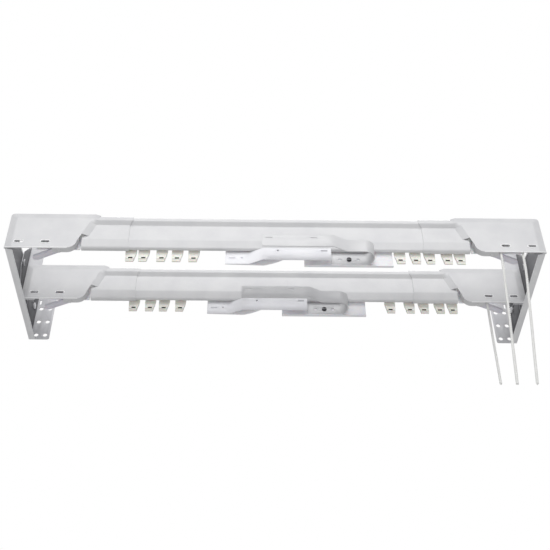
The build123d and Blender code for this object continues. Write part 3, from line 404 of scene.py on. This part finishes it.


# Hems and coined rims of the end plates: the sheet's lower edge is folded to a bead, and the hook
# slots have a raised bead round them. Both beads get a whiter enamel as a painted highlight.
painted_highlight_enamel = baked_enamel("painted_highlight_white_enamel", "#F6F6F7", "#FCFCFC", 0.35)
ALONG_X = (0, math.pi / 2, 0)
ALONG_Y = (math.pi / 2, 0, 0)
HEM_RADIUS = 0.0009
HEM_PROUD = 0.0003
HEM_INNER_X = 0.2735
HEM_END = 0.0006
RIM_RADIUS = 0.0027
RIM_BEAD = 0.0008
RIM_FLATNESS = 0.6
SLOT_HEIGHT = 0.011
SLOT_HALF = 0.0035
SLOT_INSETS = (0.0176, 0.0526)
HAIR = 0.01


def slot_rim(name, middle):
    """A flat bead round a slot: a torus parted at its middle and lengthened to the slot."""
    bpy.ops.mesh.primitive_torus_add(
        major_radius=RIM_RADIUS, minor_radius=RIM_BEAD, major_segments=32, minor_segments=10,
        location=middle, rotation=ALONG_Y,
    )
    rim = bpy.context.object
    rim.name = name
    bpy.ops.object.transform_apply(location=True, rotation=True, scale=True)
    enter_edit(rim)
    for way in (-1, 1):
        pick(rim, "VERT", middle, lambda p, n: p.x * way > HAIR)
        bpy.ops.transform.translate(value=(way * SLOT_HALF, 0, 0))
    bpy.ops.mesh.select_all(action="SELECT")
    bpy.ops.transform.resize(value=(1, RIM_FLATNESS, 1), center_override=middle)
    bpy.ops.object.mode_set(mode="OBJECT")
    return rim


for rod in RODS:
    front_y, low_z = rod_corner(rod)
    for side, hand in HANDS.items():
        low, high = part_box(f"{rod}_end_{side}")
        outer = high.x if hand > 0 else low.x
        start = hand * HEM_INNER_X
        end = outer - hand * HEM_END
        inset = HEM_RADIUS - HEM_PROUD
        beads = [solid_round(
            f"{rod}_hem_{side}", 16, HEM_RADIUS, abs(end - start),
            ((start + end) / 2, front_y + inset, low_z + inset), ALONG_X,
        )]
        for number, slot_inset in enumerate(SLOT_INSETS, 1):
            middle = Vector((outer - hand * slot_inset, front_y, low_z + SLOT_HEIGHT))
            beads.append(slot_rim(f"{rod}_slot_rim_{side}_{number}", middle))
        for bead in beads:
            finish(bead, painted_highlight_enamel, 0.0003, 2, side + "_frame")


# Pulley housings and master carriers: acetal, injection moulded, white and smooth, with the fine
# matt grain of the mould.
def moulded_plastic(name, low, high, roughness, translucency):
    """Moulded plastic: faint flow clouds, mould grain and a little light through thin walls."""
    made, tree, shader, place = new_material(name)
    shader.inputs["IOR"].default_value = 1.48
    shader.inputs["Subsurface Weight"].default_value = translucency
    shader.inputs["Subsurface Scale"].default_value = 0.002
    two_toned(tree, place, 60.0, 2.0, low, high, 0.35, 0.65)
    # Spark-eroded mould grain, 1.2 mm across
    grain = bumped(tree, place, 830.0, 2.0, 0.08, 0.0006)
    dulled(tree, grain, roughness - 0.04, roughness + 0.06)
    return made


acetal = moulded_plastic("moulded_white_acetal", "#F3F3F8", "#FBFBFD", 0.36, 0.1)
for rod in RODS:
    for side in HANDS:
        softened(
            f"{rod}_pulley_housing_{side}", f"{rod}_pulley_tray_{side}", acetal, 0.0003,
        )
        softened(f"{rod}_master_{side}", f"{rod}_master_plate_{side}", acetal, 0.00025)


# Pulleys: nylon wheels with a V groove, turned on a post of the housing. Each has a hub that stands
# a little proud of a thin recessed web.
def extrude(x, y, z):
    """Extrude the selected faces by so many millimetres."""
    bpy.ops.mesh.extrude_region()
    bpy.ops.transform.translate(value=(x / 1000, y / 1000, z / 1000))


def cut(corner, direction, distances):
    """Cut the whole piece by planes at distances in mm from a corner."""
    for distance in distances:
        bpy.ops.mesh.select_all(action="SELECT")
        bpy.ops.mesh.bisect(plane_co=corner + direction * distance / 1000, plane_no=direction)


X_WAY = Vector((1, 0, 0))
Y_WAY = Vector((0, 1, 0))
Z_WAY = Vector((0, 0, 1))
# The most by which a vertex lies off the plane that a test picks, in mm
NEAR = 0.1
PULLEY_RADIUS = 9.0
PULLEY_WIDTH = 6.4
GROOVE_SHARE = 0.55
GROOVE_MOUTH = 2.6
GROOVE_FLAT = 1.3
WHEEL_RIM = 0.0012
WHEEL_WEB = 0.003
RECESS_DEPTH = 0.0008
RECESS_SLOPE = 0.0004
HUB_SLOPE = 0.0003
wheel_nylon = moulded_plastic("moulded_white_nylon", "#DCDCDC", "#E6E6E4", 0.4, 0.1)
for rod in RODS:
    for pulley in ("lower", "upper", "idler"):
        low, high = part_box(f"{rod}_pulley_{pulley}")
        centre = (low + high) / 2
        wheel = solid_round(
            f"{rod}_wheel_{pulley}", 48, PULLEY_RADIUS / 1000, PULLEY_WIDTH / 1000, centre, ALONG_Y,
        )
        enter_edit(wheel)
        cut(centre, Y_WAY, (-GROOVE_MOUTH, -GROOVE_FLAT, GROOVE_FLAT, GROOVE_MOUTH))
        pick(wheel, "VERT", centre, lambda p, n: abs(p.y) < GROOVE_FLAT + NEAR)
        bpy.ops.transform.resize(value=(GROOVE_SHARE, 1, GROOVE_SHARE), center_override=centre)
        for way in (-1, 1):
            pick(wheel, "FACE", centre, lambda p, n: (
                n.y * way > FACING and abs(p.y) > PULLEY_WIDTH / 2 - NEAR
            ))
            bpy.ops.mesh.inset(thickness=WHEEL_RIM)
            bpy.ops.mesh.inset(thickness=RECESS_SLOPE)
            bpy.ops.transform.translate(value=(0, -RECESS_DEPTH * way, 0))
            bpy.ops.mesh.inset(thickness=WHEEL_WEB)
            bpy.ops.mesh.inset(thickness=HUB_SLOPE)
            bpy.ops.transform.translate(value=(0, RECESS_DEPTH * way, 0))
        bpy.ops.object.mode_set(mode="OBJECT")
        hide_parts(f"{rod}_pulley_{pulley}")
        finish(wheel, wheel_nylon, 0.0002, 2, f"{rod}_pulley_{pulley}")

# Overlap and underlap arms: flat steel strip 1.2 mm thick, bent and pierced, in white enamel. A
# slotted screw fixes the overlap arm to its master carrier.
overlap_enamel = baked_enamel("baked_white_enamel_on_overlap", "#D6D6D8", "#E0E0E1", 0.38)
# The underlap's enamel is a little bluer than the overlap's, and lighter as painted light that offsets
# the shade the overlap strip casts on it
painted_light_underlap_enamel = baked_enamel("painted_light_enamel_on_underlap", "#F0F0F5", "#F9F9FC", 0.38)
for rod in RODS:
    softened(f"{rod}_overlap_arm", f"{rod}_overlap_strip", overlap_enamel, 0.0002)
    softened(f"{rod}_underlap_arm", f"{rod}_underlap_strip", painted_light_underlap_enamel, 0.0002)

SCREW_RADIUS = 0.0032
SCREW_HEAD = 0.0017
SCREW_FROM_RIGHT = 0.0324
SCREW_SEAT_DEPTH = 0.0152
SCREW_SEAT_DROP = 0.00325
HEAD_EDGE = 0.0009
HEAD_DOME = 0.0004
DRIVE_HALF = 0.45
DRIVE_DEPTH = 0.9
screw_steel, tree, shader, place = new_material("blackened_steel")
shader.inputs["Metallic"].default_value = 1.0
scale_marks = two_toned(tree, place, 700.0, 3.0, "#3A3A3C", "#5C5C5F")
dulled(tree, scale_marks, 0.35, 0.55)
for rod in RODS:
    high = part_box(f"{rod}_overlap_arm")[1]
    front_y, low_z = rod_corner(rod)
    seat = Vector((high.x - SCREW_FROM_RIGHT, front_y + SCREW_SEAT_DEPTH, low_z - SCREW_SEAT_DROP))
    screw = solid_round(
        f"{rod}_arm_screw", 32, SCREW_RADIUS, SCREW_HEAD,
        seat + Vector((0, -SCREW_HEAD / 2, 0)), ALONG_Y,
    )
    enter_edit(screw)
    pick(screw, "FACE", seat, lambda p, n: n.y < -FACING)
    bpy.ops.mesh.inset(thickness=HEAD_EDGE)
    bpy.ops.transform.translate(value=(0, -HEAD_DOME, 0))
    cut(seat, Z_WAY, (-DRIVE_HALF, DRIVE_HALF))
    pick(screw, "FACE", seat, lambda p, n: n.y < -0.5 and abs(p.z) < DRIVE_HALF - NEAR)
    extrude(0, DRIVE_DEPTH, 0)
    bpy.ops.object.mode_set(mode="OBJECT")
    finish(screw, screw_steel, 0.00015, 2, f"{rod}_master_right")

# Locking levers: nylon bars moulded with a rim and a groove, each on a steel stud that is riveted
# through the corner flange of the end section.
LEVER_WIDTH = 9.0
LEVER_THICK = 3.0
LEVER_REACH = Vector((33.0, 16.0, 0))
LEVER_STUD_X = 284.0
LEVER_STUD_DEPTH = 5.9
LEVER_LOW = 1.4
BAR_RIM = 0.0011
BAR_GROOVE = 0.8
RIB_INSET = 0.0008
RIB_RISE = 0.7
RIVET_RADIUS = 0.003
RIVET_HEIGHT = 0.0028
RIVET_LIFT = 0.0003
RIVET_EDGE = 0.001
RIVET_DOME = 0.0003
lever_nylon = moulded_plastic("moulded_grey_nylon", "#DDDBE4", "#E6E4EB", 0.4, 0.05)
for rod in RODS:
    front_y, low_z = rod_corner(rod)
    for side, hand in HANDS.items():
        stud = Vector((
            hand * LEVER_STUD_X / 1000, front_y + LEVER_STUD_DEPTH / 1000,
            low_z + (LEVER_LOW + LEVER_THICK / 2) / 1000,
        ))
        reach = Vector((hand * LEVER_REACH.x, LEVER_REACH.y, 0))
        bar = solid_round(
            f"{rod}_lever_bar_{side}", 40, LEVER_WIDTH / 2000, LEVER_THICK / 1000, stud,
        )
        enter_edit(bar)
        pick(bar, "VERT", stud, lambda p, n: p.x * reach.x + p.y * reach.y > NEAR)
        bpy.ops.transform.translate(value=reach / 1000)
        pick(bar, "FACE", stud, lambda p, n: n.z < -FACING)
        bpy.ops.mesh.inset(thickness=BAR_RIM)
        extrude(0, 0, BAR_GROOVE)
        bpy.ops.mesh.inset(thickness=RIB_INSET)
        extrude(0, 0, -RIB_RISE)
        bpy.ops.object.mode_set(mode="OBJECT")
        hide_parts(f"{rod}_lever_{side}")
        finish(bar, lever_nylon, 0.0004, 3, f"{rod}_lever_{side}")

        rivet = solid_round(
            f"{rod}_lever_rivet_{side}", 28, RIVET_RADIUS, RIVET_HEIGHT,
            (stud.x, stud.y, low_z + RIVET_LIFT),
        )
        enter_edit(rivet)
        pick(rivet, "FACE", stud, lambda p, n: n.z < -FACING)
        bpy.ops.mesh.inset(thickness=RIVET_EDGE)
        bpy.ops.transform.translate(value=(0, 0, -RIVET_DOME))
        bpy.ops.object.mode_set(mode="OBJECT")
        finish(rivet, rod_enamel, 0.0004, 3, f"{rod}_lever_{side}")


# Ring carriers: cream nylon mouldings. A hook slides on the track's lip, and the pendant under it
# has a narrow eye for the curtain hook, dark with painted shade inside, above a boxed lip; the side
# towards the middle slopes.
CARRIERS = {"front": {"left": 5, "right": 5}, "rear": {"left": 4, "right": 5}}
CARRIER_HALF = 7.5
NECK_HALF = 5.5
EYE_HALF = 3.1
PENDANT_FRONT = 16.2
PENDANT_THICK = 2.5
PENDANT_TOP = 15.0
PENDANT_LOW = -6.0
EYE_TOP = -0.4
EYE_LOW = -2.6
EYE_DEPTH = 2.0
# Height in mm, and how far the side towards the middle of the rod has moved in there
SLOPE = ((10.0, 0.0), (4.0, 0.9), (EYE_TOP, 2.2), (EYE_LOW, 2.8), (PENDANT_LOW, 3.7))
# Column of vertices, and its share of that move
COLUMNS = ((-CARRIER_HALF, 1.0), (CARRIER_HALF, -1 / 6), (-NECK_HALF, 1 / 1.7), (-EYE_HALF, 1 / 4))
LIP_LEAN = 0.0014
LIP_BACK = 0.0010
PANEL_RIM = 0.0005
PANEL_SINK = (0, 0.0004, 0.0002)
BRIDGE_RISE = 0.3
BRIDGE_HEIGHT = 2.4
BRIDGE_REACH = 4.0
LEG_THICK = 1.5
LEG_DROP = 3.3
carrier_nylon = moulded_plastic("moulded_cream_nylon", "#EFEEE5", "#F7F6EE", 0.34, 0.15)
# A dark copy of the cream nylon: painted shade for the insides of the eyes
painted_shade_nylon = moulded_plastic("painted_shade_cream_nylon", "#4A4844", "#57554F", 0.6, 0.0)


def modelled_carrier():
    """A right-hand ring carrier with its middle at X = 0, in the front rod's place."""
    front_y, low_z = rod_corner("front")
    corner = Vector((0, front_y, low_z))
    middle = Vector((0, PENDANT_FRONT + PENDANT_THICK / 2, (PENDANT_TOP + PENDANT_LOW) / 2))
    bpy.ops.mesh.primitive_cube_add(
        size=0.001, location=corner + middle / 1000,
        scale=(2 * CARRIER_HALF, PENDANT_THICK, PENDANT_TOP - PENDANT_LOW),
    )
    piece = bpy.context.object
    bpy.ops.object.transform_apply(location=True, rotation=True, scale=True)
    enter_edit(piece)
    cut(corner, Z_WAY, [height for height, shift in SLOPE[:-1]])
    cut(corner, X_WAY, (-NECK_HALF, -EYE_HALF, EYE_HALF, NECK_HALF))
    for height, shift in SLOPE:
        for column, share in COLUMNS:
            pick(piece, "VERT", corner, lambda p, n: (
                abs(p.x - column) < NEAR and abs(p.z - height) < NEAR
            ))
            bpy.ops.transform.translate(value=(share * shift / 1000, 0, 0))
    # The lip under the eye: its front leans back towards the bottom, with a panel sunk in it
    pick(piece, "VERT", corner, lambda p, n: p.y < PENDANT_FRONT + NEAR and p.z < PENDANT_LOW + NEAR)
    bpy.ops.transform.translate(value=(0, LIP_LEAN, 0))
    pick(piece, "VERT", corner, lambda p, n: (
        p.y > PENDANT_FRONT + PENDANT_THICK - NEAR and p.z < EYE_LOW + NEAR
    ))
    bpy.ops.transform.translate(value=(0, LIP_BACK, 0))
    pick(piece, "FACE", corner, lambda p, n: n.y < -0.5 and p.z < EYE_LOW)
    bpy.ops.mesh.inset(thickness=PANEL_RIM)
    bpy.ops.transform.translate(value=PANEL_SINK)
    # The eye, a recess whose inside faces get a dark painted shade
    pick(piece, "FACE", corner, lambda p, n: (
        n.y < -FACING and abs(p.x) < EYE_HALF and EYE_LOW < p.z < EYE_TOP
    ))
    extrude(0, EYE_DEPTH, 0)
    piece.data.materials.append(carrier_nylon)
    piece.data.materials.append(painted_shade_nylon)
    pick(piece, "FACE", corner, lambda p, n: (
        abs(p.x) < EYE_HALF + NEAR and EYE_LOW - NEAR < p.z < EYE_TOP + NEAR
        and PENDANT_FRONT + 2 * NEAR < p.y < PENDANT_FRONT + EYE_DEPTH + 2 * NEAR
    ))
    piece.active_material_index = 1
    bpy.ops.object.material_slot_assign()
    # Neck, bridge over the track's lip, and the hook's leg
    pick(piece, "FACE", corner, lambda p, n: (
        n.z > FACING and p.z > PENDANT_TOP - NEAR and abs(p.x) < NECK_HALF
    ))
    extrude(0, 0, BRIDGE_RISE)
    extrude(0, 0, BRIDGE_HEIGHT)
    pick(piece, "FACE", corner, lambda p, n: n.y < -FACING and p.z > PENDANT_TOP + BRIDGE_RISE + NEAR)
    extrude(0, -BRIDGE_REACH, 0)
    extrude(0, -LEG_THICK, 0)
    pick(piece, "FACE", corner, lambda p, n: (
        n.z < -FACING and p.z > PENDANT_TOP and p.y < PENDANT_FRONT - BRIDGE_REACH
    ))
    extrude(0, 0, -LEG_DROP)
    bpy.ops.object.mode_set(mode="OBJECT")
    soften_edges(piece, 0.0004, 3)
    return piece


pattern = modelled_carrier()
for rod in RODS:
    for side, hand in HANDS.items():
        for number in range(1, CARRIERS[rod][side] + 1):
            node = f"{rod}_carrier_{side}_{number}"
            low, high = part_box(node)
            ring = bpy.data.objects.new(f"{rod}_ring_{side}_{number}", pattern.data.copy())
            bpy.context.collection.objects.link(ring)
            shift = Vector(rod_corner(rod)) - Vector(rod_corner("front"))
            ring.data.transform(
                Matrix.Translation(((low.x + high.x) / 2, shift.x, shift.y))
                @ Matrix.Scale(hand, 4, X_WAY)
            )
            if hand < 0:
                ring.data.flip_normals()
            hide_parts(node)
            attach(ring, node)
bpy.data.objects.remove(pattern)

# Draw cords: three strands of white polyester laid together, soft and limp, 3.2 mm thick by name
# and 3.7 mm over the crowns of the strands. Two cords hang from each rod's right-hand pulleys,
# behind the end plate's lower edge. The routes' points are in mm: X, depth behind the plate's
# face and height above its lower edge.
STRAND_RADIUS = 0.00092
STRAND_OFFSET = 0.00092
LAY_LENGTH = 0.0094
STEPS_PER_LAY = 10
CORD_ROUTES = {
    "front": (
        (
            (296, 9.8, 26), (296, 9.8, 19), (295.8, 3.8, 4.5), (294.8, 3.6, -24),
            (291.2, 3.0, -72), (288.2, 3.4, -120), (284.2, 3.0, -168), (281.4, 3.3, -210.9),
        ),
        (
            (325, 9.8, 40), (325, 9.8, 28), (324.9, 4.4, 5), (323.4, 3.6, -33),
            (318.5, 3.2, -78), (314, 3.0, -124), (309, 3.3, -170), (305, 3.0, -210.6),
        ),
    ),
    "rear": (
        (
            (296, 9.8, 26), (296, 9.8, 19), (295.8, 3.8, 4.5), (295.4, 3.6, -24),
            (294.2, 3.2, -62), (293.8, 3.0, -100), (293.2, 3.3, -137.7),
        ),
        (
            (325, 9.8, 40), (325, 9.8, 28), (324.6, 4.4, 5), (322, 3.6, -33),
            (319.4, 3.2, -70), (317.4, 3.0, -104), (314.8, 3.3, -137.5),
        ),
    ),
}

polyester, tree, shader, place = new_material("laid_white_polyester")
shader.inputs["Roughness"].default_value = 0.75
shader.inputs["Sheen Weight"].default_value = 0.3
two_toned(tree, place, 900.0, 3.0, "#E6E6E3", "#FAFAF8", 0.3, 0.7)
bumped(tree, place, 900.0, 3.0, 0.25, 0.0004)


def route_line(name, points):
    """Points read from the NURBS spline that has the route's points as its control points."""
    curve = bpy.data.curves.new(name, "CURVE")
    curve.dimensions = "3D"
    curve.resolution_u = 24
    spline = curve.splines.new("NURBS")
    spline.points.add(len(points) - 1)
    for made, point in zip(spline.points, points):
        made.co = (*point, 1)
    spline.order_u = 3
    spline.use_endpoint_u = True
    drawn = bpy.data.objects.new(name, curve)
    bpy.context.collection.objects.link(drawn)
    bpy.context.view_layer.update()
    mesh = bpy.data.meshes.new_from_object(drawn)
    line = [v.co.copy() for v in mesh.vertices]
    bpy.data.objects.remove(drawn)
    bpy.data.meshes.remove(mesh)
    return line


def along(line, step):
    """Places and directions a step apart along a line of points."""
    total = sum((b - a).length for a, b in zip(line, line[1:]))
    count = max(2, round(total / step))
    found = []
    index = 0
    gone = 0.0
    for i in range(count + 1):
        want = total * i / count
        while index < len(line) - 2 and gone + (line[index + 1] - line[index]).length < want:
            gone += (line[index + 1] - line[index]).length
            index += 1
        run = line[index + 1] - line[index]
        found.append((line[index] + run.normalized() * (want - gone), run.normalized()))
    return found, total


def laid_cord(name, line):
    """Three strands twisted round a line, as one mesh; returns it and the line's length."""
    places, total = along(line, LAY_LENGTH / STEPS_PER_LAY)
    side = places[0][1].orthogonal().normalized()
    curve = bpy.data.curves.new(name, "CURVE")
    curve.dimensions = "3D"
    curve.bevel_depth = STRAND_RADIUS
    curve.bevel_resolution = 2
    curve.use_fill_caps = True
    strands = []
    for strand in range(3):
        spline = curve.splines.new("POLY")
        spline.points.add(len(places) - 1)
        strands.append(spline)
    for i, (point, direction) in enumerate(places):
        side = (side - direction * side.dot(direction)).normalized()
        across = direction.cross(side)
        for strand, spline in enumerate(strands):
            angle = 2 * math.pi * (i / STEPS_PER_LAY + strand / 3)
            offset = side * math.cos(angle) + across * math.sin(angle)
            spline.points[i].co = (*(point + offset * STRAND_OFFSET), 1)
    drawn = bpy.data.objects.new(name + "_curve", curve)
    bpy.context.collection.objects.link(drawn)
    bpy.context.view_layer.update()
    mesh = bpy.data.meshes.new_from_object(drawn)
    bpy.data.objects.remove(drawn)
    mesh.name = name
    made = bpy.data.objects.new(name, mesh)
    bpy.context.collection.objects.link(made)
    mesh.polygons.foreach_set("use_smooth", [True] * len(mesh.polygons))
    mesh.materials.clear()
    mesh.materials.append(polyester)
    return made, total


for rod in RODS:
    front_y, low_z = rod_corner(rod)
    for number, route in enumerate(CORD_ROUTES[rod], 1):
        points = [
            Vector((x / 1000, front_y + depth / 1000, low_z + height / 1000))
            for x, depth, height in route
        ]
        line = route_line("route", points)
        cord, length = laid_cord(f"{rod}_hanging_cord_{number}", line)
        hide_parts(f"{rod}_cord_{number}")
        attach(cord, "right_frame")

# Draw cord inside each rod: over the right-hand pulleys, along the rail and back round the idler.
# The real one feeds more cord in from its hanging ends as the rod stretches; this one is fixed in
# place.
CORD_RADIUS_ON_PULLEY = 0.007
ARC_STEPS = 8


def arc(centre, start, end):
    """Points of the cord round a pulley, from one angle to another, in degrees."""
    turns = [math.radians(start + (end - start) * i / ARC_STEPS) for i in range(ARC_STEPS + 1)]
    return [centre + CORD_RADIUS_ON_PULLEY * Vector((math.cos(a), 0, math.sin(a))) for a in turns]


for rod in RODS:
    front_y, low_z = rod_corner(rod)
    centres = {}
    for pulley in ("lower", "upper", "idler"):
        low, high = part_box(f"{rod}_pulley_{pulley}")
        centres[pulley] = (low + high) / 2
    line = arc(centres["lower"], 0, 90) + arc(centres["idler"], 270, 90) + arc(centres["upper"], 90, 0)
    cord = laid_cord(f"{rod}_draw_cord", line)[0]
    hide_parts("draw_cord_loops")
    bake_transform(cord)
